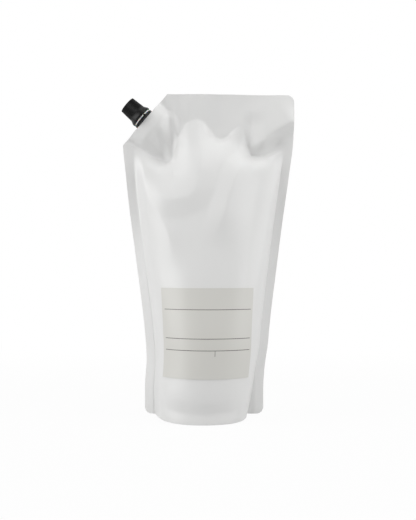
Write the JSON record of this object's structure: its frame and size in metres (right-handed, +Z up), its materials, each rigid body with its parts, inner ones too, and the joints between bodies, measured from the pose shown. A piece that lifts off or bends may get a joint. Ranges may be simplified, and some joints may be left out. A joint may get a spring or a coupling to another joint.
{
  "type": "hand soap refill pack",
  "caption": "Standing film pouch of liquid hand soap with a spout welded in its cut corner and a ribbed screw cap.",
  "frame": {"origin": "middle of the foot, on the surface that the pack stands on", "axes": "+Z up to the top seal, -Y out of the labelled front, +X to the right as the front is seen"},
  "size_m": [0.1503, 0.0806, 0.283],
  "materials": {
    "film": "matt laminated film, pale grey white",
    "label": "matt printed label, warm grey",
    "spout_plastic": "natural moulded polyethylene",
    "black_plastic": "black moulded polypropylene, satin",
    "liner_foam": "white foamed polyethylene"
  },
  "bodies": {
    "pack": {"pouch": "film", "front_label": "label", "spout": "spout_plastic", "tamper_band": "black_plastic"},
    "liner": {"cap_liner": "liner_foam"},
    "cap": {"cap": "black_plastic"}
  },
  "joints": [
    {"name": "cap_lift", "type": "slide", "parent": "pack", "child": "liner", "axis": [-0.7561, 0, 0.6545], "range_m": [0, 0.0045]},
    {"name": "cap_turn", "type": "hinge", "parent": "liner", "child": "cap", "pos_m": [-0.05165, 0, 0.2603], "axis": [-0.7561, 0, 0.6545], "range_deg": [0, 540]}
  ],
  "couplings": [
    {"joint": "cap_lift", "follows": "cap_turn", "m_per_rad": 0.00047746}
  ]
}
